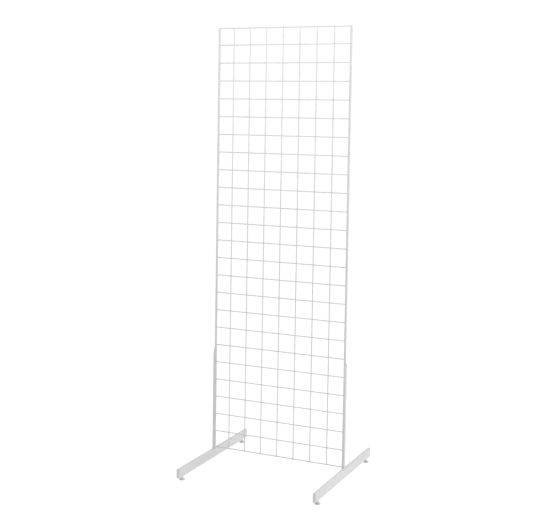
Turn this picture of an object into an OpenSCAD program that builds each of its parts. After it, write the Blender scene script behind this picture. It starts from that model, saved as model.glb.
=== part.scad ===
// Free-standing wire grid partition: one welded grid panel held upright in two T-legs.
// X runs along the panel, the front faces -Y, +Z is up and the floor is at Z = 0.
// The origin is midway between the two legs, on the floor.

/* [Grid panel] */
// Overall width of the panel, over both side rails
panel_w = 609.6; // [500:0.1:740]
// Overall height of the panel, which is the length of the side rails
panel_h = 1828.8; // [1500:0.1:2200]
// Number of columns of cells
columns = 8; // [6:1:9]
// Number of rows of cells
rows = 24; // [18:1:26]
// Diameter of the two round side rails
rail_d = 9.5; // [7.9:0.1:11.5]
// Chamfer at both ends of the side rails
rail_chamfer = 0.8; // [0.4:0.1:1.5]
// Diameter of the grid wires
wire_d = 4.5; // [3.7:0.1:5.4]
// Diameter of the top and bottom wires
edge_wire_d = 5; // [4.1:0.1:6]
// Height of the bottom wire's centre above the lower ends of the side rails
bottom_wire_h = 7.5; // [6:0.1:12]
// How deep two crossing wires melt into each other where they are welded
weld_sink = 0.25; // [0.1:0.05:0.35]

/* [Posts] */
// Height of each post above its foot bar
post_h = 457.2; // [380:0.1:550]
// Wall thickness of the channel that the post is bent from
post_wall = 2; // [1.5:0.1:2.4]
// Free space between a side rail and the walls of its post
rail_play = 1.2; // [0.8:0.1:1.5]
// How far the sides of the channel reach past the rail's centre, towards the panel
post_lip = 2; // [1:0.1:2.5]
// Height of the slope at the top of the post
slope_h = 34; // [20:1:60]
// Depth of the slope, measured from the outer face of the post
slope_depth = 7.5; // [4:0.1:8]

/* [Foot bars] */
// Length of each foot bar, over its end caps
foot_len = 635; // [520:1:765]
// Width of the rectangular tube
foot_w = 12.7; // [11.8:0.1:16]
// Height of the rectangular tube
foot_h = 38.1; // [31:0.1:46]
// Wall thickness of the rectangular tube
foot_wall = 1.5; // [1.2:0.1:1.8]
// Outer corner radius of the rectangular tube
foot_corner = 1.8; // [1.6:0.1:2.5]
// Height of the tube's underside above the floor
ground_gap = 16; // [13:0.1:20]

/* [End caps] */
// Thickness of the cap's head
cap_head = 2; // [1.5:0.1:3]
// Length of the hollow plug that goes into the tube
cap_plug = 12; // [8:0.5:16]
// Wall thickness of the plug
cap_wall = 1.2; // [0.8:0.1:1.6]
// Space between the plug and the inside of the tube
cap_fit = 0.1; // [0.05:0.05:0.2]

/* [Levelling glides] */
// Distance from the end of the foot bar to the axis of the glide
glide_inset = 38; // [31:0.5:46]
// Diameter of the round pad
pad_d = 25; // [20:0.5:30]
// Height of the pad
pad_h = 5; // [4.1:0.1:6]
// Thickness of the pad's rim
pad_rim = 3; // [2:0.1:3.5]
// Diameter of the flat at the top of the pad
pad_top_d = 14; // [12.5:0.5:18]
// Thickness of the pad under its socket
pad_floor = 1.5; // [1:0.1:2]
// Diameter of the threaded stem
stem_d = 6; // [5:0.1:7.2]
// Width across the flats of the stem's hexagonal collar
collar_flats = 10; // [8:0.5:11]
// Height of the hexagonal collar
collar_h = 3; // [2:0.1:3.6]
// Length of the threaded insert inside the tube
insert_len = 12; // [8:0.5:14]
// Thickness of the insert's flange
insert_flange = 1; // [0.8:0.1:1.4]

/* [Clearances] */
// Radial space between the stem and the hole that it turns in
stem_fit = 0.05; // [0.02:0.01:0.1]
// Radial space between the insert and its hole in the tube
insert_fit = 0.05; // [0.02:0.01:0.1]
// Space between the insert and the side walls inside the tube
insert_side_gap = 0.35; // [0.2:0.05:0.5]
// Space between the collar and what lies above or below it
collar_gap = 0.3; // [0.2:0.05:0.5]
// Space between the stem's lower end and the floor of its socket
seat_gap = 0.1; // [0.05:0.05:0.2]
// Space that is left above the stem when the glide is screwed all the way in
stem_headroom = 3; // [2:0.5:5]

/* [Hidden] */
$fn = 48;
cut = 1; // overshoot of a cutting solid past the face that it cuts

// Panel
column_pitch = panel_w / columns;
row_pitch = panel_h / rows;
rail_x = (panel_w - rail_d) / 2;
rail_bottom = ground_gap + foot_h;
rail_top = rail_bottom + panel_h;
bottom_wire_z = rail_bottom + bottom_wire_h;
top_wire_z = rail_top - edge_wire_d / 2;
grid_mid_z = (bottom_wire_z + top_wire_z) / 2;
cross_len = 2 * rail_x - rail_d + 2 * weld_sink;
edge_wire_y = (edge_wire_d - wire_d) / 2; // keeps the fronts of all cross wires in one plane
upright_wire_y = weld_sink - wire_d; // upright wires lie on the front of the cross wires
upright_bottom = bottom_wire_z - edge_wire_d / 2;

// Posts: the channel is centred on its foot bar, open towards the panel
post_w = rail_d + 2 * rail_play + 2 * post_wall;
post_depth = rail_d / 2 + rail_play + post_wall + post_lip;
post_bend = post_wall; // outer radius of the two bends
rail_offset = post_depth / 2 - post_lip; // rail's centre, inboard of the bar's centre
leg_x = rail_x + rail_offset;

// Glides
glide_y = foot_len / 2 - glide_inset;
insert_d = foot_w - 2 * foot_wall - 2 * insert_side_gap;
insert_flange_d = foot_w - 2 * insert_side_gap;
pad_chamfer = 0.8;
collar_z = pad_h + collar_gap;
glide_rise = ground_gap - insert_flange - collar_z - collar_h - collar_gap; // travel to fully screwed in
stem_bottom = pad_floor + seat_gap;
stem_top = ground_gap + foot_h - foot_wall - glide_rise - stem_headroom;
stem_chamfer = 0.6;

SIDES = ["left", "right"];
ENDS = ["front", "rear"];
function leg_node(side, piece) = str(side, "_", piece);
function end_node(side, end, piece) = str(side, "_", end, "_", piece);
function upright_wire_node(i) = str("upright_wire_", i);
function cross_wire_node(k) = str("cross_wire_", k < 10 ? "0" : "", k);

// ---- Shapes that repeat ----

// Straight round rod that stands upright, with its ends chamfered
module upright_rod(d, z_low, z_high, chamfer) {
    translate([0, 0, z_low]) cylinder(h = chamfer, d1 = d - 2 * chamfer, d2 = d);
    translate([0, 0, z_low + chamfer]) cylinder(h = z_high - z_low - 2 * chamfer, d = d);
    translate([0, 0, z_high - chamfer]) cylinder(h = chamfer, d1 = d, d2 = d - 2 * chamfer);
}

// Straight wire that runs from rail to rail
module cross_rod(d, y, z) {
    translate([0, y, z]) rotate([0, 90, 0]) cylinder(h = cross_len, d = d, center = true);
}

// Rectangle centred on the origin, with round corners
module rounded_rect(w, h, r) {
    square([w - 2 * r, h], center = true);
    square([w, h - 2 * r], center = true);
    for (x = [-1, 1]) for (y = [-1, 1]) translate([x * (w / 2 - r), y * (h / 2 - r)]) circle(r);
}

// Prism along Y with the rounded outline of the foot bar, drawn in by inset on every side
module bar_prism(len, inset) {
    translate([0, 0, ground_gap + foot_h / 2]) rotate([90, 0, 0])
        linear_extrude(height = len, center = true)
            rounded_rect(foot_w - 2 * inset, foot_h - 2 * inset, foot_corner - min(inset, foot_wall));
}

// Puts a leg's piece in place: the left leg as drawn, the right leg as its mirror image
module at_leg(side) {
    if (side == "left") translate([-leg_x, 0, 0]) children();
    else mirror([1, 0, 0]) translate([-leg_x, 0, 0]) children();
}

// Puts a piece at the front or the rear glide of a leg
module at_glide(side, end) {
    at_leg(side) translate([0, end == "front" ? -glide_y : glide_y, 0]) children();
}

// ---- Grid panel ----

module side_rail(side) {
    color("whitesmoke") translate([side == "left" ? -rail_x : rail_x, 0, 0])
        upright_rod(rail_d, rail_bottom, rail_top, rail_chamfer);
}

module top_wire() {
    color("whitesmoke") cross_rod(edge_wire_d, edge_wire_y, top_wire_z);
}

module bottom_wire() {
    color("whitesmoke") cross_rod(edge_wire_d, edge_wire_y, bottom_wire_z);
}

module upright_wire(i) {
    color("whitesmoke") translate([(i - columns / 2) * column_pitch, upright_wire_y, upright_bottom])
        cylinder(h = rail_top - upright_bottom, d = wire_d);
}

module cross_wire(k) {
    color("whitesmoke") cross_rod(wire_d, 0, grid_mid_z + (k - rows / 2) * row_pitch);
}

// ---- Legs ----

// Channel section: the web is outboard and the open side faces the panel
module post_section() {
    slot_w = rail_d + 2 * rail_play;
    difference() {
        union() {
            translate([-post_depth / 2 + post_bend, -post_w / 2]) square([post_depth - post_bend, post_w]);
            translate([-post_depth / 2, -post_w / 2 + post_bend])
                square([post_depth, post_w - 2 * post_bend]);
            for (y = [-1, 1]) translate([-post_depth / 2 + post_bend, y * (post_w / 2 - post_bend)])
                circle(post_bend);
        }
        translate([-post_depth / 2 + post_wall, -slot_w / 2]) square([post_depth, slot_w]);
    }
}

module post(side) {
    outer = -post_depth / 2;
    color("whitesmoke") at_leg(side) translate([0, 0, rail_bottom]) difference() {
        linear_extrude(height = post_h) post_section();
        rotate([90, 0, 0]) linear_extrude(height = post_w + 2 * cut, center = true) polygon([
            [outer - cut, post_h - slope_h],
            [outer, post_h - slope_h],
            [outer + slope_depth, post_h],
            [outer + slope_depth, post_h + cut],
            [outer - cut, post_h + cut]
        ]);
    }
}

module foot_bar(side) {
    tube_len = foot_len - 2 * cap_head;
    color("whitesmoke") at_leg(side) difference() {
        bar_prism(tube_len, 0);
        bar_prism(tube_len + 2 * cut, foot_wall);
        for (y = [-glide_y, glide_y]) translate([0, y, ground_gap - cut])
            cylinder(h = foot_wall + 2 * cut, d = insert_d + 2 * insert_fit);
    }
}

module end_cap(side, end) {
    sign = end == "front" ? -1 : 1;
    plug_inset = foot_wall + cap_fit;
    color("gainsboro") at_leg(side) {
        translate([0, sign * (foot_len - cap_head) / 2, 0]) bar_prism(cap_head, 0);
        translate([0, sign * ((foot_len - cap_plug) / 2 - cap_head), 0]) difference() {
            bar_prism(cap_plug, plug_inset);
            bar_prism(cap_plug + 2 * cut, plug_inset + cap_wall);
            translate([0, sign * (cap_plug / 2 + cut), 0]) bar_prism(2 * cut, foot_wall);
        }
    }
}

// ---- Levelling glides ----

// Threaded insert, riveted into the underside of the tube
module insert(side, end) {
    color("silver") at_glide(side, end) difference() {
        union() {
            translate([0, 0, ground_gap - insert_flange]) cylinder(h = insert_flange, d = insert_flange_d);
            translate([0, 0, ground_gap - insert_flange])
                cylinder(h = insert_flange + insert_len, d = insert_d);
        }
        translate([0, 0, ground_gap - insert_flange - cut])
            cylinder(h = insert_flange + insert_len + 2 * cut, d = stem_d + 2 * stem_fit);
    }
}

// Threaded stem with a hexagonal collar; its lower end turns in the pad
module stem(side, end) {
    color("silver") at_glide(side, end) {
        upright_rod(stem_d, stem_bottom, stem_top, stem_chamfer);
        translate([0, 0, collar_z]) cylinder(h = collar_h, d = collar_flats / cos(30), $fn = 6);
    }
}

// Round pad with a blind socket for the stem
module pad(side, end) {
    color("gainsboro") at_glide(side, end) difference() {
        rotate_extrude() polygon([
            [0, 0],
            [pad_d / 2 - pad_chamfer, 0],
            [pad_d / 2, pad_chamfer],
            [pad_d / 2, pad_rim],
            [pad_top_d / 2, pad_h],
            [0, pad_h]
        ]);
        translate([0, 0, pad_floor]) cylinder(h = pad_h, d = stem_d + 2 * stem_fit);
    }
}

// ---- Assembly ----

side_rail("left");  // left_rail
side_rail("right");  // right_rail
top_wire();
bottom_wire();
for (i = [1 : columns - 1])
    upright_wire(i);
for (k = [1 : rows - 1])
    cross_wire(k);
for (side = SIDES) {
    foot_bar(side);
    post(side);
    for (end = ENDS) {
        end_cap(side, end);
        insert(side, end);
        stem(side, end);
        pad(side, end);
    }
}
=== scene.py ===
"""Looks of a free-standing wire grid partition: coated wires, welds, legs, glides and a plain stage.

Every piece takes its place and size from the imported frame. Lengths are in metres.
"""

import math

import bmesh
import bpy
from bpy.props import FloatProperty, FloatVectorProperty, IntProperty, PointerProperty
from mathutils import Matrix, Vector


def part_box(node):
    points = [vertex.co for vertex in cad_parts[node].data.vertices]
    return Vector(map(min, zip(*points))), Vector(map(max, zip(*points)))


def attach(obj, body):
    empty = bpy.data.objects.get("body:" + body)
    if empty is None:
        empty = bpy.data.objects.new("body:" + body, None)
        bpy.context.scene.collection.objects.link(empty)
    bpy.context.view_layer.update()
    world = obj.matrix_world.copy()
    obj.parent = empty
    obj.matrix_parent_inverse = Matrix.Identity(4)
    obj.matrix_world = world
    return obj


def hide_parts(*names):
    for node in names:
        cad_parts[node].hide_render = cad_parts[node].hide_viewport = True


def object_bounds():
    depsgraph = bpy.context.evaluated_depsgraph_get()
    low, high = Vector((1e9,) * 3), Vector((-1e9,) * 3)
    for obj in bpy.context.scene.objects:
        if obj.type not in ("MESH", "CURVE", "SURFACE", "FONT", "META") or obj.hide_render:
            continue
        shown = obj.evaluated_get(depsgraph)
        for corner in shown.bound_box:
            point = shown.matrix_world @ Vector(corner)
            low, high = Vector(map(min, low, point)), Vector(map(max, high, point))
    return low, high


bl_info = {
    "name": "Grid Partition Looks",
    "version": (1, 0, 0),
    "blender": (4, 5, 0),
    "location": "View3D > Sidebar > Partition",
    "description": "Builds the coated wires, welds, legs and glides of a grid partition around its frame",
    "category": "Object",
}

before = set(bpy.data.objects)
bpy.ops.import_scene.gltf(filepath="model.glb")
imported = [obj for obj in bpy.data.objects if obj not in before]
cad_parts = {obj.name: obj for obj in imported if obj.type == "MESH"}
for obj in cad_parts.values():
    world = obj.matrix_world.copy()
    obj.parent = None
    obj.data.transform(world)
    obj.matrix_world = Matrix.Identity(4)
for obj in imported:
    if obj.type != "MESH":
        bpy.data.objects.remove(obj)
CAD_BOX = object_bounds()

MM = 0.001
SIDES = ("left", "right")
LEG_ENDS = [(side, end) for side in SIDES for end in ("front", "rear")]
UPRIGHT_WIRES = sorted(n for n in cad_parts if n.startswith("upright_wire_"))
CROSS_WIRES = [
    "bottom_wire", *sorted(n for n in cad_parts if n.startswith("cross_wire_")), "top_wire"]
RAILS = ["left_rail", "right_rail"]

# Directions of a lathe's section: two across the axis, then the axis itself
AXES = {
    "X": (Vector((0, 1, 0)), Vector((0, 0, 1)), Vector((1, 0, 0))),
    "Y": (Vector((0, 0, 1)), Vector((1, 0, 0)), Vector((0, 1, 0))),
    "Z": (Vector((1, 0, 0)), Vector((0, 1, 0)), Vector((0, 0, 1))),
}


# ---- Fixed sizes and proportions ----


# Faces that meet at more than this angle, in degrees, keep a crisp edge between them
ROD_SHARP = 60  # rails and wires
WELD_SHARP = 80  # welds, and the stage's floor
STEEL_SHARP = 30  # posts and foot bars
SMALL_SHARP = 35  # caps, inserts and pads
STEM_SHARP = 50

# Faces round a turned piece
RAIL_MORE_SEGMENTS = 8  # a rail has this many more than a wire
INSERT_SEGMENTS = 40  # also the holes that the inserts sit in
STEM_SEGMENTS = 20
HEX_SEGMENTS = 48
PAD_SEGMENTS = 48
FLOOR_SEGMENTS = 96

# Weld nugget of two crossed wires
NUGGET_STEPS, NUGGET_RINGS = 16, 4
NUGGET_SWELL = 0.14  # share by which it reaches beyond its mean radius in the four corners
TRIM = 0.1 * MM  # how far the top wire's welds end below the rails' top

# Weld collar of a cross wire at a rail, as shares of the wire's radius and of the collar's reach
COLLAR_BORE = 0.7
COLLAR_FLARE, COLLAR_FADE = 0.45, 2.2  # extra radius at the rail, and how fast it fades away from it
COLLAR_SUNK, COLLAR_ROOT = 0.7, 0.8  # how deep its skin and its bore start inside the rail
COLLAR_STEPS = 6

# Post and foot bar
BEND_STEPS, INNER_BEND_STEPS = 6, 4
INNER_BEND = 0.35  # inner bend radius of the channel, as a share of its wall
SOFTENED_FROM = 40  # a post's edges sharper than this angle, in degrees, are rounded over
HOLE_MARGIN = 0.3 * MM  # between an insert's hole and the inner face of the tube's wall

# Weld bead at the foot of a post
BEAD_SEGMENTS, BEAD_STEPS = 12, 8  # faces round it, and loops in each ripple
BEAD_BODY, BEAD_RIPPLE = 0.93, 0.07  # mean radius and height of the ripples, as shares of its size
BEAD_END = 6  # power that keeps the bead full until close to its ends
SIDE_RIPPLES, BACK_RIPPLES = 4, 7
BACK_BEAD = 0.5  # size of the bead along a post's outer face, against those at its sides

# End cap
CAP_RIM, CAP_RIM_STEPS = 0.9 * MM, 5  # radius of the head's round rim
CAP_CROWN = 0.25 * MM  # how far the head's middle stands above its rim
CAP_DOME = ((2.4 * MM, 0.4), (4.2 * MM, 0))  # distance in from the edge, and share of the crown to climb
CAP_GROOVE = 0.25 * MM  # depth of the fine groove between head and tube
CAP_LEAST_CORNER = 0.25 * MM  # corner radius that is left where an outline is drawn far in
PLUG_WALL, PLUG_PLAY = 1.2 * MM, 0.1 * MM
PLUG_TAPER = 0.3 * MM  # how far the plug's tip is drawn in

# Insert; its bore is as wide as the socket in a pad
BORE_RADIUS = 3.05 * MM
BORE_CHAMFER = 0.25 * MM
FLANGE_WIDTH = 1.5 * MM
FLANGE_EDGE = 0.35  # radius of the flange's edge, as a share of its thickness
SHANK_CHAMFER = 0.5 * MM

# Stem
STEM_RADIUS = 3 * MM
STEM_FOOT, STEM_TIP = 0.3 * MM, 0.5 * MM  # how far the foot is chamfered and the tip tapers
THREAD_STEPS = 6  # loops in each turn of the thread
HEX_LOW, HEX_HIGH = 0.3 * MM, 3.3 * MM  # ends of the hexagonal collar, above the pad
HEX_COVERS = 0.5 * MM  # length of thread that starts inside the collar
HEX_FACE = 0.96  # width of the round face left at each end, against the width across flats
HEX_CHAMFER = 30  # degrees

# Pad
RIM_HEIGHT, BOSS_RADIUS = 3 * MM, 7 * MM
HOLLOW = 0.25 * MM  # depth of the shallow hollow under the pad
HOLLOW_FROM, HOLLOW_TO = 0.55, 0.6  # where the hollow's edge lies, as shares of the pad's radius
FOOT_EDGE, RIM_EDGE, BOSS_EDGE = 0.8 * MM, 0.9 * MM, 0.35 * MM  # radii of its round edges
BOSS_FLARE = 0.6 * MM  # how far the boss's edge is centred outside its level top
SOCKET_CHAMFER, SOCKET_PLAY = 0.4 * MM, 0.1 * MM

# Stage
FLOOR_BEND, FLOOR_BEND_STEPS = 0.6, 8  # radius in which the floor turns up, as a share of the rim's height
SENSOR_WIDTH = 36  # millimetres


# ---- Sizes and colours that a user would change ----


class GridSettings(bpy.types.PropertyGroup):
    coat_colour: FloatVectorProperty(
        name="Coat", description="Colour of the powder coat", subtype="COLOR", size=3, min=0, max=1,
        default=(0.79, 0.787, 0.803))
    peel_size: FloatProperty(
        name="Orange peel", description="Distance between the soft dimples of the powder coat",
        default=2.4 * MM, min=0.5 * MM, max=6 * MM, unit="LENGTH")
    end_round: FloatProperty(
        name="Wire end rounding", description="Radius of the coated edge at the end of a wire",
        default=0.7 * MM, min=0.2 * MM, max=1.5 * MM, unit="LENGTH")
    nugget_size: FloatProperty(
        name="Weld nugget", description="Radius of the weld where two wires cross",
        default=2.9 * MM, min=2 * MM, max=4 * MM, unit="LENGTH")
    nugget_height: FloatProperty(
        name="Weld height", description="Half the thickness of the weld where two wires cross",
        default=1.1 * MM, min=0.5 * MM, max=2 * MM, unit="LENGTH")
    collar_reach: FloatProperty(
        name="Weld collar", description="How far the weld runs out from a rail along a cross wire",
        default=2.2 * MM, min=1 * MM, max=4 * MM, unit="LENGTH")
    segments: IntProperty(
        name="Segments", description="Faces round a wire or rail", default=24, min=8, max=64)


class LegSettings(bpy.types.PropertyGroup):
    channel_wall: FloatProperty(
        name="Channel wall", description="Wall of the channel that a post is bent from",
        default=2 * MM, min=1 * MM, max=3 * MM, unit="LENGTH")
    slope_height: FloatProperty(
        name="Slope height", description="Height of the slope at the top of a post",
        default=34 * MM, min=10 * MM, max=60 * MM, unit="LENGTH")
    slope_depth: FloatProperty(
        name="Slope depth", description="Depth of the slope, from the outer face of the post",
        default=7.5 * MM, min=3 * MM, max=9 * MM, unit="LENGTH")
    edge_round: FloatProperty(
        name="Edge rounding", description="Radius of the coated edges of a post",
        default=0.35 * MM, min=0.1 * MM, max=0.8 * MM, unit="LENGTH")
    tube_wall: FloatProperty(
        name="Tube wall", description="Wall of the foot bar's tube",
        default=1.5 * MM, min=1 * MM, max=2.5 * MM, unit="LENGTH")
    tube_corner: FloatProperty(
        name="Tube corner", description="Outer corner radius of the foot bar's tube",
        default=1.8 * MM, min=1 * MM, max=3 * MM, unit="LENGTH")
    bead_size: FloatProperty(
        name="Weld bead", description="Radius of the bead that joins a post to its foot bar",
        default=2.2 * MM, min=1 * MM, max=3 * MM, unit="LENGTH")
    cap_head: FloatProperty(
        name="Cap head", description="Thickness of an end cap's head",
        default=2 * MM, min=1 * MM, max=3 * MM, unit="LENGTH")
    cap_colour: FloatVectorProperty(
        name="Cap", description="Colour of the moulded end caps", subtype="COLOR", size=3, min=0, max=1,
        default=(0.74, 0.74, 0.75))


class GlideSettings(bpy.types.PropertyGroup):
    thread_pitch: FloatProperty(
        name="Thread pitch", description="Height that one turn of the stem moves a pad",
        default=1 * MM, min=0.5 * MM, max=2 * MM, unit="LENGTH")
    thread_depth: FloatProperty(
        name="Thread depth", description="Depth of the stem's thread",
        default=0.55 * MM, min=0.2 * MM, max=1 * MM, unit="LENGTH")
    zinc_colour: FloatVectorProperty(
        name="Zinc", description="Colour of the zinc plate on stems and inserts", subtype="COLOR", size=3,
        min=0, max=1, default=(0.74, 0.75, 0.77))
    pad_colour: FloatVectorProperty(
        name="Pad", description="Colour of the moulded pads", subtype="COLOR", size=3, min=0, max=1,
        default=(0.88, 0.88, 0.885))


class StageSettings(bpy.types.PropertyGroup):
    floor_radius: FloatProperty(
        name="Floor radius", description="Radius of the studio floor, out to its rim",
        default=8.5, min=3, max=20, unit="LENGTH")
    rim_height: FloatProperty(
        name="Rim height", description="Height to which the studio floor curves up all round",
        default=3.6, min=1, max=10, unit="LENGTH")
    floor_colour: FloatVectorProperty(
        name="Floor", description="Colour of the studio floor", subtype="COLOR", size=3, min=0, max=1,
        default=(0.25, 0.25, 0.25))
    floor_glow: FloatProperty(
        name="Floor glow", default=0.885, min=0, max=2,
        description="Light of its own that the floor shows to the eye and in reflections")
    bounce_glow: FloatProperty(
        name="Bounce glow", description="Light of its own that the floor sends up onto the object",
        default=0.50, min=0, max=2)
    sky_strength: FloatProperty(
        name="Sky", description="Strength of the even light from above", default=0.31, min=0, max=3)
    camera_place: FloatVectorProperty(
        name="Camera", description="Place of the camera", subtype="TRANSLATION", size=3,
        default=(1.816, -4.047, 1.523))
    camera_azimuth: FloatProperty(
        name="Azimuth", description="Turn of the camera round the object", subtype="ANGLE",
        default=math.radians(24.44))
    camera_fall: FloatProperty(
        name="Fall", description="Angle at which the camera looks down", subtype="ANGLE",
        default=math.radians(3.38))
    camera_roll: FloatProperty(
        name="Roll", description="Tilt of the camera about its own axis", subtype="ANGLE",
        default=math.radians(0.92))
    camera_lens: FloatProperty(
        name="Lens", description="Focal length in millimetres", default=68.9, min=20, max=200)
    camera_shift: FloatProperty(
        name="Shift", description="Vertical shift of the lens", default=-0.159, min=-0.5, max=0.5)


# ---- Mesh helpers ----


def bridge(bm, low, high):
    """Joins two closed loops of vertices with faces; a loop of one vertex is a pole."""
    count = max(len(low), len(high))
    for i in range(count):
        j = (i + 1) % count
        corners = [low[i % len(low)], low[j % len(low)], high[j % len(high)], high[i % len(high)]]
        bm.faces.new(list(dict.fromkeys(corners)))


def skin(bm, loops):
    """Joins each loop of vertices to the next."""
    for low, high in zip(loops, loops[1:]):
        bridge(bm, low, high)


def turn_angles(count):
    """Evenly spaced angles of one full turn."""
    return [2 * math.pi * i / count for i in range(count)]


def round_loop(bm, middle, across, up, radius, angles):
    """A loop of vertices round a point, in the plane of two directions."""
    return [bm.verts.new(middle + (across * math.cos(a) + up * math.sin(a)) * radius) for a in angles]


def lathe(bm, profile, centre, axis, segments, ring=False):
    """Turns (radius, distance along the axis) points round an axis through centre.

    A closed solid starts and ends on the axis, with radius 0; a ring's profile closes on itself.
    """
    across, up, along = AXES[axis]
    loops = []
    for radius, distance in profile:
        middle = centre + along * distance
        angles = turn_angles(segments) if radius > 0 else [0.0]
        loops.append(round_loop(bm, middle, across, up, radius, angles))
    skin(bm, loops + loops[:1] if ring else loops)


def arc(centre_x, centre_y, radius, start, end, steps):
    """Points along an arc from one angle to another, in degrees; 0 points along the first coordinate."""
    angles = [math.radians(start + (end - start) * i / steps) for i in range(steps + 1)]
    return [(centre_x + radius * math.cos(a), centre_y + radius * math.sin(a)) for a in angles]


def rod_profile(radius, length, edge, steps=4):
    """Profile of a straight rod with rounded edges, which starts at 0."""
    low = arc(radius - edge, edge, edge, -90, 0, steps)
    high = arc(radius - edge, length - edge, edge, 0, 90, steps)
    return [(0, 0)] + low + high + [(0, length)]


def node_rod(node):
    """Axis, lowest point on the axis, radius and length of a straight round CAD node."""
    low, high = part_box(node)
    size = high - low
    axis = "XYZ"[list(size).index(max(size))]
    start = (low + high) / 2
    start["XYZ".index(axis)] = low["XYZ".index(axis)]
    return axis, start, min(size) / 2, max(size)


def rounded_rect(width, height, radius, steps=5):
    """Outline of a rectangle with round corners, centred on the origin, as (x, y) points."""
    points = []
    for corner, (sx, sy) in enumerate(((1, 1), (-1, 1), (-1, -1), (1, -1))):
        start = 90 * corner
        points += arc(
            sx * (width / 2 - radius), sy * (height / 2 - radius), radius, start, start + 90, steps)
    return points


def loop_along_y(bm, outline, x, y, z):
    """A loop of vertices with this (x, z) outline, at a place along the foot bar."""
    return [bm.verts.new((x + px, y, z + pz)) for px, pz in outline]


def new_piece(name, bm, material, sharp_angle):
    """Makes an object of the mesh: normals out, smooth faces, and sharp edges past the angle."""
    bmesh.ops.recalc_face_normals(bm, faces=bm.faces)
    for face in bm.faces:
        face.smooth = True
    limit = math.radians(sharp_angle)
    for edge in bm.edges:
        edge.smooth = len(edge.link_faces) != 2 or edge.calc_face_angle(0) <= limit
    mesh = bpy.data.meshes.new(name)
    bm.to_mesh(mesh)
    bm.free()
    mesh.materials.append(material)
    piece = bpy.data.objects.new(name, mesh)
    bpy.context.scene.collection.objects.link(piece)
    return piece


def place_piece(piece, body, slot, *nodes):
    """Says which body carries the piece and hides the CAD nodes that it stands for; the slot is not used.
    """
    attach(piece, body)
    if nodes:
        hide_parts(*nodes)
    return piece


def coated_rod(node, edge, segments):
    """Builds a coated rod with rounded ends in place of a straight round CAD node of the panel."""
    axis, start, radius, length = node_rod(node)
    bm = bmesh.new()
    lathe(bm, rod_profile(radius, length, edge), start, axis, segments)
    piece = new_piece("coated_" + node, bm, powder_coat(), ROD_SHARP)
    place_piece(piece, "panel", "coated_steel", node)


def cut_holes(piece, cutter_bm):
    """Cuts the cutter's solids out of the piece and keeps the result as its mesh."""
    bmesh.ops.recalc_face_normals(cutter_bm, faces=cutter_bm.faces)
    mesh = bpy.data.meshes.new(piece.name + "_cutter")
    cutter_bm.to_mesh(mesh)
    cutter_bm.free()
    cutter = bpy.data.objects.new(mesh.name, mesh)
    bpy.context.scene.collection.objects.link(cutter)
    modifier = piece.modifiers.new("holes", "BOOLEAN")
    modifier.operation = "DIFFERENCE"
    modifier.solver = "EXACT"
    modifier.object = cutter
    evaluated = piece.evaluated_get(bpy.context.evaluated_depsgraph_get())
    result = bpy.data.meshes.new_from_object(evaluated)
    piece.modifiers.clear()
    piece.data = result
    bpy.data.objects.remove(cutter)


# ---- Materials ----


class Graph:
    """A material's node tree with one Principled shader, and short calls that add nodes to it."""

    def __init__(self, name):
        self.material = bpy.data.materials.get(name)
        self.is_new = self.material is None
        if self.is_new:
            self.material = bpy.data.materials.new(name)
            self.material.use_nodes = True
            self.tree = self.material.node_tree
            self.tree.nodes.clear()
            self.shader = self.tree.nodes.new("ShaderNodeBsdfPrincipled")
            output = self.tree.nodes.new("ShaderNodeOutputMaterial")
            self.tree.links.new(self.shader.outputs["BSDF"], output.inputs["Surface"])
            self.place = self.tree.nodes.new("ShaderNodeTexCoord").outputs["Object"]

    def link(self, output, socket):
        self.tree.links.new(output, socket)

    def noise(self, scale, detail=2.0, place=None):
        """Noise with this many cells in a metre, or in a unit of the place that it is given."""
        node = self.tree.nodes.new("ShaderNodeTexNoise")
        node.inputs["Scale"].default_value = scale
        node.inputs["Detail"].default_value = detail
        self.link(place or self.place, node.inputs["Vector"])
        return node.outputs["Fac"]

    def stretched(self, x, y, z):
        """The place, scaled along each axis."""
        node = self.tree.nodes.new("ShaderNodeMapping")
        node.inputs["Scale"].default_value = (x, y, z)
        self.link(self.place, node.inputs["Vector"])
        return node.outputs["Vector"]

    def ranged(self, value, low, high, from_low=0.3, from_high=0.7):
        """The value carried from one range to another; noise stays mostly within the default one."""
        node = self.tree.nodes.new("ShaderNodeMapRange")
        node.inputs["From Min"].default_value = from_low
        node.inputs["From Max"].default_value = from_high
        node.inputs["To Min"].default_value = low
        node.inputs["To Max"].default_value = high
        self.link(value, node.inputs["Value"])
        return node.outputs["Result"]

    def math(self, operation, a, b):
        node = self.tree.nodes.new("ShaderNodeMath")
        node.operation = operation
        for socket, value in zip(node.inputs, (a, b)):
            if isinstance(value, (int, float)):
                socket.default_value = value
            else:
                self.link(value, socket)
        return node.outputs["Value"]

    def mixed(self, factor, low_colour, high_colour):
        node = self.tree.nodes.new("ShaderNodeMix")
        node.data_type = "RGBA"
        colour_a, colour_b = [s for s in node.inputs if s.type == "RGBA"]
        for socket, value in ((colour_a, low_colour), (colour_b, high_colour)):
            if isinstance(value, bpy.types.NodeSocket):
                self.link(value, socket)
            else:
                socket.default_value = (*value, 1)
        self.link(factor, node.inputs[0])
        return [s for s in node.outputs if s.type == "RGBA"][0]

    def bump(self, height, strength, distance, below=None):
        node = self.tree.nodes.new("ShaderNodeBump")
        node.inputs["Strength"].default_value = strength
        node.inputs["Distance"].default_value = distance
        self.link(height, node.inputs["Height"])
        if below:
            self.link(below, node.inputs["Normal"])
        return node.outputs["Normal"]

    def finish(self, colour, roughness, normal, **fixed):
        self.link(colour, self.shader.inputs["Base Color"])
        self.link(roughness, self.shader.inputs["Roughness"])
        self.link(normal, self.shader.inputs["Normal"])
        for name, value in fixed.items():
            self.shader.inputs[name.replace("_", " ")].default_value = value
        return self.material


def shade(colour, factor):
    """The colour made darker or lighter, and kept within range."""
    return tuple(min(1.0, c * factor) for c in colour)


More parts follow.
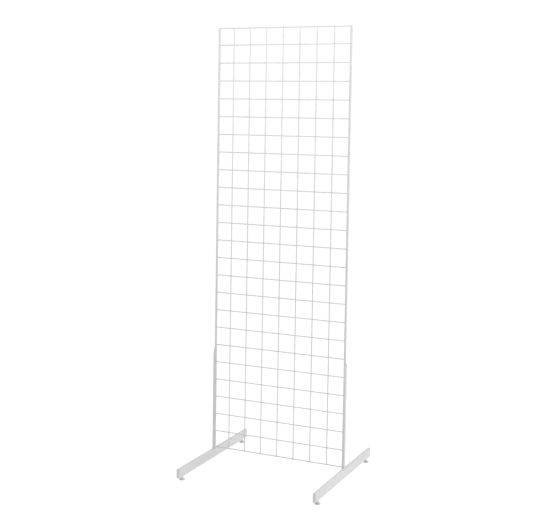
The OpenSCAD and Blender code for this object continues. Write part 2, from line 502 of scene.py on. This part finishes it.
def powder_coat():
    """Satin white powder coat: orange peel, fine grain, faint cloudiness and slightly uneven gloss."""
    settings = bpy.context.scene.partition_grid
    g = Graph("powder_coat")
    if not g.is_new:
        return g.material
    dark_cloud, pale_cloud, speck_tone = (shade(settings.coat_colour, f) for f in (0.975, 1.015, 0.86))
    clouds = g.ranged(g.noise(scale=9.0, detail=3.0), 0, 1)
    specks = g.ranged(g.noise(scale=900.0, detail=1.0), 0, 1, from_low=0.66, from_high=0.78)
    base = g.mixed(clouds, dark_cloud, pale_cloud)
    colour = g.mixed(g.math("MULTIPLY", specks, 0.35), base, speck_tone)
    gloss = g.ranged(g.noise(scale=70.0, detail=3.0), low=0.3, high=0.4)
    roughness = g.math("ADD", gloss, g.math("MULTIPLY", specks, 0.08))
    peel = g.bump(g.noise(scale=1 / settings.peel_size), strength=0.34, distance=0.3 * MM)
    grain = g.bump(g.noise(scale=2600.0), strength=0.12, distance=0.06 * MM, below=peel)
    return g.finish(colour, roughness, grain, Specular_IOR_Level=0.5, Coat_Weight=0.2, Coat_Roughness=0.2)


def zinc_plate():
    """Bright zinc plate: turning marks round the stem and cloudy passivation."""
    settings = bpy.context.scene.partition_glides
    g = Graph("zinc_plate")
    if not g.is_new:
        return g.material
    dark_cloud, pale_cloud = shade(settings.zinc_colour, 0.88), shade(settings.zinc_colour, 1.12)
    clouds = g.ranged(g.noise(scale=260.0, detail=3.0), 0, 1)
    turned = g.noise(scale=1.0, place=g.stretched(120, 120, 9000))
    colour = g.mixed(clouds, dark_cloud, pale_cloud)
    roughness = g.ranged(turned, low=0.26, high=0.42)
    normal = g.bump(turned, strength=0.12, distance=0.04 * MM)
    return g.finish(colour, roughness, normal, Metallic=1.0)


def moulded(name, colour):
    """Matt moulded plastic: spark-eroded grain, faint flow marks and slightly uneven gloss."""
    g = Graph(name)
    if not g.is_new:
        return g.material
    dark_flow, pale_flow = shade(colour, 0.96), shade(colour, 1.03)
    flow = g.ranged(g.noise(scale=1.0, detail=3.0, place=g.stretched(60, 60, 240)), 0, 1)
    tone = g.mixed(flow, dark_flow, pale_flow)
    roughness = g.ranged(g.noise(scale=180.0, detail=3.0), low=0.46, high=0.6)
    grain = g.bump(g.noise(scale=1500.0), strength=0.22, distance=0.08 * MM)
    return g.finish(tone, roughness, grain, Specular_IOR_Level=0.45)


def cap_plastic():
    return moulded("cap_plastic", bpy.context.scene.partition_legs.cap_colour)


def pad_plastic():
    return moulded("pad_plastic", bpy.context.scene.partition_glides.pad_colour)


def studio_paper(settings):
    """Plain pale studio floor with a very faint mottle.

    It shows more light of its own to the eye and in reflections than it sends onto the object.
    """
    g = Graph("studio_paper")
    if not g.is_new:
        return g.material
    colour = tuple(settings.floor_colour)
    dark_mottle = shade(colour, 0.995)
    mottle = g.ranged(g.noise(scale=1.5), 0, 1)
    tone = g.mixed(mottle, dark_mottle, colour)
    roughness = g.ranged(g.noise(scale=4.0), low=0.86, high=0.92)
    normal = g.bump(g.noise(scale=300.0), strength=0.05, distance=0.1 * MM)
    path = g.tree.nodes.new("ShaderNodeLightPath")
    seen = g.math("MAXIMUM", path.outputs["Is Camera Ray"], path.outputs["Is Glossy Ray"])
    glow = g.ranged(seen, settings.bounce_glow, settings.floor_glow, from_low=0, from_high=1)
    g.link(glow, g.shader.inputs["Emission Strength"])
    return g.finish(tone, roughness, normal, Emission_Color=(1, 1, 1, 1))


# ---- Operators: one for each piece or group of like pieces ----


class PARTITION_OT_side_rails(bpy.types.Operator):
    """Builds the two round side rails with softly rounded, coated ends"""

    bl_idname = "partition.side_rails"
    bl_label = "Side rails"

    def execute(self, context):
        settings = context.scene.partition_grid
        for node in RAILS:
            coated_rod(node, settings.end_round, settings.segments + RAIL_MORE_SEGMENTS)
        return {"FINISHED"}


class PARTITION_OT_grid_wires(bpy.types.Operator):
    """Builds the upright wires and the cross wires, each as its own piece"""

    bl_idname = "partition.grid_wires"
    bl_label = "Grid wires"

    def execute(self, context):
        settings = context.scene.partition_grid
        for node in UPRIGHT_WIRES + CROSS_WIRES:
            coated_rod(node, settings.end_round, settings.segments)
        return {"FINISHED"}


class PARTITION_OT_grid_welds(bpy.types.Operator):
    """Builds the weld nuggets where wires cross and the weld collars where wires meet the rails"""

    bl_idname = "partition.grid_welds"
    bl_label = "Grid welds"

    def nugget(self, bm, centre, radius, height):
        """A flat lens that swells into the four corners between two crossed wires."""
        loops = []
        for ring in range(-NUGGET_RINGS, NUGGET_RINGS + 1):
            rise = math.pi / 2 * ring / NUGGET_RINGS
            middle = centre + Vector((0, height * math.sin(rise), 0))
            if abs(ring) == NUGGET_RINGS:
                loops.append([bm.verts.new(middle)])
                continue
            loop = []
            for a in turn_angles(NUGGET_STEPS):
                reach = radius * math.cos(rise) * (1 - NUGGET_SWELL * math.cos(4 * a))
                loop.append(bm.verts.new(middle + Vector((reach * math.cos(a), 0, reach * math.sin(a)))))
            loops.append(loop)
        skin(bm, loops)

    def collar(self, bm, wire, side, rail_radius, rail_x, reach, segments):
        """A flared ring round the end of a cross wire, melted into the rail."""
        _, start, radius, _ = node_rod(wire)
        sign = 1 if side == "left" else -1
        surface = sign * rail_radius + rail_x
        profile = [(radius * COLLAR_BORE, -reach * COLLAR_ROOT)]
        for step in range(COLLAR_STEPS + 1):
            t = step / COLLAR_STEPS
            flare = COLLAR_FLARE * (1 - t) ** COLLAR_FADE
            profile.append((radius * (1 + flare), -reach * COLLAR_SUNK + reach * (1 + COLLAR_SUNK) * t))
        profile.append((radius * COLLAR_BORE, reach))
        outline = [(r, sign * distance) for r, distance in profile]
        lathe(bm, outline, Vector((surface, start.y, start.z)), "X", segments, ring=True)

    def trim_to_panel(self, bm):
        """Flattens the welds of the top wire, so that none stands above the rails."""
        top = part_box(RAILS[0])[1].z - TRIM
        for vertex in bm.verts:
            vertex.co.z = min(vertex.co.z, top)

    def execute(self, context):
        settings = context.scene.partition_grid
        welds = bmesh.new()
        for upright in UPRIGHT_WIRES:
            _, foot, upright_radius, _ = node_rod(upright)
            for cross in CROSS_WIRES:
                _, start, cross_radius, _ = node_rod(cross)
                touch_y = (foot.y + upright_radius + start.y - cross_radius) / 2
                centre = Vector((foot.x, touch_y, start.z))
                if cross == "top_wire":
                    centre.z -= settings.end_round
                elif cross == "bottom_wire":
                    centre.z += settings.end_round
                self.nugget(welds, centre, settings.nugget_size, settings.nugget_height)
        self.trim_to_panel(welds)
        nuggets = new_piece("wire_weld_nuggets", welds, powder_coat(), WELD_SHARP)
        place_piece(nuggets, "panel", "coated_steel")
        welds = bmesh.new()
        reach, segments = settings.collar_reach, settings.segments
        for side, rail in zip(SIDES, RAILS):
            _, rail_start, rail_radius, _ = node_rod(rail)
            for cross in CROSS_WIRES:
                self.collar(welds, cross, side, rail_radius, rail_start.x, reach, segments)
        self.trim_to_panel(welds)
        collars = new_piece("rail_weld_collars", welds, powder_coat(), WELD_SHARP)
        place_piece(collars, "panel", "coated_steel")
        return {"FINISHED"}


class PARTITION_OT_posts(bpy.types.Operator):
    """Builds the two channel posts with round bends, a sloped top and softened edges"""

    bl_idname = "partition.posts"
    bl_label = "Posts"

    def outline(self, depth, width, wall, slope_end):
        """Half of the channel's outline, from the web's middle outside to its middle inside, as (x, y)."""
        outer = [(-depth / 2, 0)]
        outer += arc(-depth / 2 + wall, width / 2 - wall, wall, 180, 90, BEND_STEPS)
        outer += [(slope_end, width / 2), (depth / 2, width / 2)]
        bend = wall * INNER_BEND
        inner = [(depth / 2, width / 2 - wall), (slope_end, width / 2 - wall)]
        inner += arc(-depth / 2 + wall + bend, width / 2 - wall - bend, bend, 90, 180, INNER_BEND_STEPS)
        inner.append((-depth / 2 + wall, 0))
        return outer + inner

    def execute(self, context):
        settings = context.scene.partition_legs
        for side in SIDES:
            node = side + "_post"
            low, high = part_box(node)
            depth, width, height = high - low
            middle = (low + high) / 2
            sign = 1 if side == "left" else -1
            slope_end = -depth / 2 + settings.slope_depth
            half = self.outline(depth, width, settings.channel_wall, slope_end)
            ring = half + [(x, -y) for x, y in reversed(half) if y > 0]
            bm = bmesh.new()
            bottom, top = [], []
            for x, y in ring:
                drop = settings.slope_height * max(0.0, (slope_end - x) / settings.slope_depth)
                bottom.append(bm.verts.new((middle.x + sign * x, middle.y + y, low.z)))
                top.append(bm.verts.new((middle.x + sign * x, middle.y + y, high.z - drop)))
            bridge(bm, bottom, top)
            self.close_ends(bm, ring, bottom, top, slope_end)
            bmesh.ops.recalc_face_normals(bm, faces=bm.faces)
            edges = [e for e in bm.edges if e.calc_face_angle(0) > math.radians(SOFTENED_FROM)]
            bmesh.ops.bevel(
                bm, geom=edges, offset=settings.edge_round, segments=2, profile=0.5, affect="EDGES",
                clamp_overlap=True)
            piece = new_piece("coated_" + node, bm, powder_coat(), STEEL_SHARP)
            place_piece(piece, side + "_leg", "coated_steel", node)
        return {"FINISHED"}

    def close_ends(self, bm, ring, bottom, top, slope_end):
        """Closes the foot with one face and the top with the slope's face and two level lips."""
        bm.faces.new(bottom)
        breaks = [i for i, (x, _) in enumerate(ring) if abs(x - slope_end) < 1e-9]
        first_out, first_in, second_in, second_out = breaks
        bm.faces.new(top[first_out:first_in + 1])
        bm.faces.new(top[second_in:second_out + 1])
        bm.faces.new(top[:first_out + 1] + top[first_in:second_in + 1] + top[second_out:])


class PARTITION_OT_foot_bars(bpy.types.Operator):
    """Builds the two rectangular foot tubes, with the holes for the glides' inserts"""

    bl_idname = "partition.foot_bars"
    bl_label = "Foot bars"

    def execute(self, context):
        settings = context.scene.partition_legs
        for side in SIDES:
            node = side + "_foot_bar"
            low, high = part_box(node)
            middle, size = (low + high) / 2, high - low
            wall, corner = settings.tube_wall, settings.tube_corner
            outside = rounded_rect(size.x, size.z, corner)
            inside = rounded_rect(size.x - 2 * wall, size.z - 2 * wall, corner - wall)
            bm = bmesh.new()
            loops = []
            for outline, y in ((outside, low.y), (outside, high.y), (inside, high.y), (inside, low.y)):
                loops.append(loop_along_y(bm, outline, middle.x, y, middle.z))
            skin(bm, loops + loops[:1])
            piece = new_piece("coated_" + node, bm, powder_coat(), STEEL_SHARP)
            cutter = bmesh.new()
            radius = size.x / 2 - wall - HOLE_MARGIN
            profile = [(0, -2 * wall), (radius, -2 * wall), (radius, 2 * wall), (0, 2 * wall)]
            for end in ("front", "rear"):
                insert_low, insert_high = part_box(f"{side}_{end}_insert")
                centre = (insert_low + insert_high) / 2
                lathe(cutter, profile, Vector((centre.x, centre.y, low.z)), "Z", INSERT_SEGMENTS)
            cut_holes(piece, cutter)
            place_piece(piece, side + "_leg", "coated_steel", node)
        return {"FINISHED"}


class PARTITION_OT_post_welds(bpy.types.Operator):
    """Builds the rippled weld beads at the foot of each post"""

    bl_idname = "partition.post_welds"
    bl_label = "Post welds"

    def bead(self, bm, start, end, radius, ripples):
        """A bead of weld metal between two points, with rounded ends and ripples along it."""
        steps = BEAD_STEPS * ripples
        along = (end - start).normalized()
        across = along.cross(Vector((0, 0, 1))).normalized()
        up = Vector((0, 0, 1))
        loops = []
        for i in range(steps + 1):
            t = i / steps
            swell = max(0.0, 1 - abs(2 * t - 1) ** BEAD_END) ** 0.5
            size = radius * swell * (BEAD_BODY + BEAD_RIPPLE * math.cos(2 * math.pi * ripples * t))
            middle = start.lerp(end, t)
            if i in (0, steps):
                loops.append([bm.verts.new(middle)])
                continue
            loops.append(round_loop(bm, middle, across, up, size, turn_angles(BEAD_SEGMENTS)))
        skin(bm, loops)

    def execute(self, context):
        size = context.scene.partition_legs.bead_size
        for side in SIDES:
            low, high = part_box(side + "_post")
            outer, inner = (low.x, high.x) if side == "left" else (high.x, low.x)
            bm = bmesh.new()
            for y in (low.y, high.y):
                self.bead(
                    bm, Vector((outer, y, low.z)), Vector((inner, y, low.z)), size, SIDE_RIPPLES)
            self.bead(
                bm, Vector((outer, low.y, low.z)), Vector((outer, high.y, low.z)), size * BACK_BEAD,
                BACK_RIPPLES)
            piece = new_piece(side + "_post_weld", bm, powder_coat(), WELD_SHARP)
            place_piece(piece, side + "_leg", "coated_steel")
        return {"FINISHED"}


class PARTITION_OT_end_caps(bpy.types.Operator):
    """Builds the four moulded caps: a crowned head with a round rim, and a hollow plug"""

    bl_idname = "partition.end_caps"
    bl_label = "End caps"

    def execute(self, context):
        settings = context.scene.partition_legs
        for side, end in LEG_ENDS:
            self.build_cap(settings, side, end)
        return {"FINISHED"}

    def build_cap(self, settings, side, end):
        node = f"{side}_{end}_cap"
        low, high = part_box(node)
        middle, size = (low + high) / 2, high - low
        sign = -1 if end == "front" else 1
        face_y = low.y if end == "front" else high.y
        corner, head = settings.tube_corner, settings.cap_head
        inset, length = settings.tube_wall + PLUG_PLAY, size.y
        # Each loop is how far the outline is drawn in, and how deep it lies behind the cap's face.
        # A fine groove parts the head from the tube.
        rings = [
            (CAP_GROOVE, head), (CAP_GROOVE, head - CAP_GROOVE * 0.5), (0, head - CAP_GROOVE * 1.5)]
        for i in range(CAP_RIM_STEPS + 1):
            a = math.pi / 2 * i / CAP_RIM_STEPS
            rings.append((CAP_RIM * (1 - math.cos(a)), CAP_CROWN + CAP_RIM * (1 - math.sin(a))))
        rings += [(drawn_in, CAP_CROWN * left) for drawn_in, left in CAP_DOME]
        plug = [(inset, head), (inset + PLUG_TAPER, length)]
        plug += [(inset + PLUG_WALL, length), (inset + PLUG_WALL, head)]
        bm = bmesh.new()

        def loop(drawn_in, depth):
            radius = max(CAP_LEAST_CORNER, corner - drawn_in)
            outline = rounded_rect(size.x - 2 * drawn_in, size.z - 2 * drawn_in, radius)
            return loop_along_y(bm, outline, middle.x, face_y - sign * depth, middle.z)

        head_loops = [loop(*ring) for ring in rings]
        skin(bm, head_loops)
        bm.faces.new(head_loops[-1])
        plug_loops = [loop(*ring) for ring in plug]
        skin(bm, head_loops[:1] + plug_loops)
        bm.faces.new(plug_loops[-1])
        piece = new_piece("moulded_" + node, bm, cap_plastic(), SMALL_SHARP)
        place_piece(piece, side + "_leg", "cap_plastic", node)


class PARTITION_OT_inserts(bpy.types.Operator):
    """Builds the four inserts that hold the stems, each with a rounded flange under the bar"""

    bl_idname = "partition.inserts"
    bl_label = "Inserts"

    def execute(self, context):
        for side, end in LEG_ENDS:
            self.build_insert(side, end)
        return {"FINISHED"}

    def build_insert(self, side, end):
        node = f"{side}_{end}_insert"
        low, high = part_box(node)
        bar_low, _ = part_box(f"{side}_foot_bar")
        middle = (low + high) / 2
        flange_radius = (high.x - low.x) / 2
        shank_radius = flange_radius - FLANGE_WIDTH
        flange, length = bar_low.z - low.z, high.z - low.z
        edge = flange * FLANGE_EDGE
        profile = [(BORE_RADIUS, BORE_CHAMFER), (BORE_RADIUS + BORE_CHAMFER, 0)]
        profile += arc(flange_radius - edge, edge, edge, -90, 0, 3)
        profile += [(flange_radius, flange), (shank_radius, flange), (shank_radius, length - SHANK_CHAMFER)]
        profile += [(shank_radius - SHANK_CHAMFER, length), (BORE_RADIUS, length)]
        bm = bmesh.new()
        lathe(bm, profile, Vector((middle.x, middle.y, low.z)), "Z", INSERT_SEGMENTS, ring=True)
        piece = new_piece("plated_" + node, bm, zinc_plate(), SMALL_SHARP)
        place_piece(piece, side + "_leg", "zinc", node)


class PARTITION_OT_stems(bpy.types.Operator):
    """Builds the four stems with a cut thread and a chamfered hexagonal collar"""

    bl_idname = "partition.stems"
    bl_label = "Stems"

    def execute(self, context):
        settings = context.scene.partition_glides
        for side, end in LEG_ENDS:
            self.build_stem(settings, side, end)
        return {"FINISHED"}

    def build_stem(self, settings, side, end):
        node = f"{side}_{end}_stem"
        low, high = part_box(node)
        _, pad_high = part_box(f"{side}_{end}_pad")
        middle = (low + high) / 2
        flats = (high.y - low.y) / 2
        collar_low, collar_high = pad_high.z + HEX_LOW, pad_high.z + HEX_HIGH
        bm = bmesh.new()
        self.add_shank(bm, settings, middle, low.z, collar_high - HEX_COVERS, high.z)
        self.add_collar(bm, middle, collar_low, collar_high, flats)
        piece = new_piece("plated_" + node, bm, zinc_plate(), STEM_SHARP)
        place_piece(piece, f"{side}_{end}_stem", "zinc", node)

    def add_shank(self, bm, settings, middle, bottom, thread_start, top):
        """Plain below the collar and threaded above it; the thread fades in, and the tip tapers."""
        pitch, depth = settings.thread_pitch, settings.thread_depth
        plain = [bottom, bottom + STEM_FOOT, thread_start]
        count = int((top - thread_start) / pitch * THREAD_STEPS)
        threaded = [thread_start + (top - thread_start) * (i + 1) / count for i in range(count)]
        loops = [[bm.verts.new((middle.x, middle.y, bottom))]]
        for z in plain + threaded:
            fade = min(1.0, max(0.0, (z - thread_start) / pitch))
            tip = max(0.0, 1 - (top - z) / pitch)
            loop = []
            for a in turn_angles(STEM_SEGMENTS):
                phase = (z / pitch - a / (2 * math.pi)) % 1.0
                groove = depth * abs(2 * phase - 1) * fade
                r = STEM_RADIUS - groove - STEM_TIP * tip - (STEM_FOOT if z == bottom else 0)
                loop.append(bm.verts.new((middle.x + r * math.cos(a), middle.y + r * math.sin(a), z)))
            loops.append(loop)
        loops.append([bm.verts.new((middle.x, middle.y, top))])
        skin(bm, loops)

    def add_collar(self, bm, middle, bottom, top, flats):
        """A hexagon whose corners are turned off at both ends."""
        turned, slope = flats * HEX_FACE, math.tan(math.radians(HEX_CHAMFER))
        loops = []
        for z, out in ((bottom, -1), (top, 1)):
            inner, outer = [], []
            for a in turn_angles(HEX_SEGMENTS):
                hexagon = flats / math.cos((a + math.pi / 6) % (math.pi / 3) - math.pi / 6)
                drop = (hexagon - turned) * slope
                inner.append(bm.verts.new((
                    middle.x + turned * math.cos(a), middle.y + turned * math.sin(a), z)))
                outer.append(bm.verts.new((
                    middle.x + hexagon * math.cos(a), middle.y + hexagon * math.sin(a), z - out * drop)))
            loops += [inner, outer] if out < 0 else [outer, inner]
        bm.faces.new(loops[0])
        skin(bm, loops)
        bm.faces.new(loops[-1])


class PARTITION_OT_pads(bpy.types.Operator):
    """Builds the four round pads with a rolled rim, a raised boss and a socket for the stem"""

    bl_idname = "partition.pads"
    bl_label = "Pads"

    def execute(self, context):
        for side, end in LEG_ENDS:
            self.build_pad(side, end)
        return {"FINISHED"}

    def build_pad(self, side, end):
        node = f"{side}_{end}_pad"
        low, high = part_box(node)
        stem_low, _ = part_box(f"{side}_{end}_stem")
        middle = (low + high) / 2
        radius, height = (high.x - low.x) / 2, high.z - low.z
        socket_floor = stem_low.z - SOCKET_PLAY - low.z
        profile = [(0, HOLLOW), (radius * HOLLOW_FROM, HOLLOW), (radius * HOLLOW_TO, 0)]
        profile += arc(radius - FOOT_EDGE, FOOT_EDGE, FOOT_EDGE, -90, 0, 4)
        profile += arc(radius - RIM_EDGE, RIM_HEIGHT - RIM_EDGE, RIM_EDGE, 0, 70, 5)
        profile += arc(BOSS_RADIUS + BOSS_FLARE, height - BOSS_EDGE, BOSS_EDGE, 20, 90, 2)
        profile += [(BOSS_RADIUS, height), (BORE_RADIUS + SOCKET_CHAMFER, height)]
        profile += [(BORE_RADIUS, height - SOCKET_CHAMFER), (BORE_RADIUS, socket_floor), (0, socket_floor)]
        bm = bmesh.new()
        lathe(bm, profile, Vector((middle.x, middle.y, low.z)), "Z", PAD_SEGMENTS)
        piece = new_piece("moulded_" + node, bm, pad_plastic(), SMALL_SHARP)
        place_piece(piece, f"{side}_{end}_pad", "pad_plastic", node)


class PARTITION_OT_stage(bpy.types.Operator):
    """Builds the pale floor that curves up all round, the soft lights and the camera"""

    bl_idname = "partition.stage"
    bl_label = "Stage"

    def execute(self, context):
        settings = context.scene.partition_stage
        self.add_floor(settings)
        self.add_sky(settings)
        self.add_lamps()
        self.add_camera(settings)
        return {"FINISHED"}

    def add_floor(self, settings):
        radius, rim = settings.floor_radius, settings.rim_height
        bend = rim * FLOOR_BEND
        profile = [(0, 0), (radius - bend, 0)]
        profile += arc(radius - bend, bend, bend, -80, 0, FLOOR_BEND_STEPS) + [(radius, rim)]
        bm = bmesh.new()
        lathe(bm, profile, Vector((0, 0, CAD_BOX[0].z)), "Z", FLOOR_SEGMENTS)
        floor = new_piece("studio_floor", bm, studio_paper(settings), WELD_SHARP)
        floor.data.flip_normals()

    def add_sky(self, settings):
        world = bpy.data.worlds.new("even_sky")
        world.use_nodes = True
        background = world.node_tree.nodes["Background"]
        background.inputs["Color"].default_value = (1, 1, 1, 1)
        background.inputs["Strength"].default_value = settings.sky_strength
        bpy.context.scene.world = world

    def add_lamps(self):
        middle = (CAD_BOX[0] + CAD_BOX[1]) / 2
        # Name, place, width, height, power in watts, colour
        lamps = (
            ("key_softbox", Vector((3.2, 0.6, 1.3)), 1.6, 1.6, 24, (1.0, 0.995, 0.985)),
            ("crown_softbox", Vector((0.25, -1.05, 2.65)), 0.9, 0.9, 5, (1.0, 1.0, 1.0)),
            ("top_softbox", Vector((0.4, -0.4, 4.4)), 2.6, 2.6, 78, (1.0, 1.0, 1.0)),
        )
        for name, place, width, height, power, colour in lamps:
            data = bpy.data.lights.new(name, "AREA")
            data.shape = "RECTANGLE"
            data.size, data.size_y = width, height
            data.energy = power
            data.color = colour
            lamp = bpy.data.objects.new(name, data)
            lamp.location = place
            lamp.visible_camera = False
            lamp.rotation_mode = "QUATERNION"
            lamp.rotation_quaternion = (middle - place).to_track_quat("-Z", "Y")
            bpy.context.scene.collection.objects.link(lamp)

    def add_camera(self, settings):
        azimuth, fall, roll = settings.camera_azimuth, settings.camera_fall, settings.camera_roll
        back = Vector((
            math.sin(azimuth) * math.cos(fall), -math.cos(azimuth) * math.cos(fall), math.sin(fall)))
        right = (-back).cross(Vector((0, 0, 1))).normalized()
        up = back.cross(right)
        rolled_right = right * math.cos(roll) + up * math.sin(roll)
        rolled_up = up * math.cos(roll) - right * math.sin(roll)
        turn = Matrix((rolled_right, rolled_up, back)).transposed()
        data = bpy.data.cameras.new("studio_camera")
        data.lens = settings.camera_lens
        data.sensor_width = SENSOR_WIDTH
        data.shift_y = settings.camera_shift
        camera = bpy.data.objects.new("studio_camera", data)
        camera.matrix_world = Matrix.Translation(settings.camera_place) @ turn.to_4x4()
        bpy.context.scene.collection.objects.link(camera)
        bpy.context.scene.camera = camera
        bpy.context.scene.view_settings.view_transform = "Standard"


class PARTITION_PT_panel(bpy.types.Panel):
    """Lists the sizes and the building steps of the partition"""

    bl_idname = "PARTITION_PT_panel"
    bl_label = "Grid partition"
    bl_space_type = "VIEW_3D"
    bl_region_type = "UI"
    bl_category = "Partition"

    def draw(self, context):
        for group, operators in STEPS:
            box = self.layout.box()
            settings = getattr(context.scene, group)
            for name in settings.bl_rna.properties.keys():
                if name not in ("rna_type", "name"):
                    box.prop(settings, name)
            for operator in operators:
                box.operator(operator.bl_idname)


# Each group of settings with the operators that read it, in building order
STEPS = (
    ("partition_grid", (PARTITION_OT_side_rails, PARTITION_OT_grid_wires, PARTITION_OT_grid_welds)),
    ("partition_legs", (
        PARTITION_OT_posts, PARTITION_OT_foot_bars, PARTITION_OT_post_welds, PARTITION_OT_end_caps)),
    ("partition_glides", (PARTITION_OT_inserts, PARTITION_OT_stems, PARTITION_OT_pads)),
    ("partition_stage", (PARTITION_OT_stage,)),
)
GROUPS = {
    "partition_grid": GridSettings,
    "partition_legs": LegSettings,
    "partition_glides": GlideSettings,
    "partition_stage": StageSettings,
}
OPERATORS = [operator for _, operators in STEPS for operator in operators]
CLASSES = (*GROUPS.values(), *OPERATORS, PARTITION_PT_panel)


def register():
    for cls in CLASSES:
        bpy.utils.register_class(cls)
    for name, group in GROUPS.items():
        setattr(bpy.types.Scene, name, PointerProperty(type=group))


def unregister():
    for name in GROUPS:
        delattr(bpy.types.Scene, name)
    for cls in reversed(CLASSES):
        bpy.utils.unregister_class(cls)


def main():
    register()
    for operator in OPERATORS:
        category, name = operator.bl_idname.split(".")
        getattr(getattr(bpy.ops, category), name)()


if __name__ == "__main__":
    main()
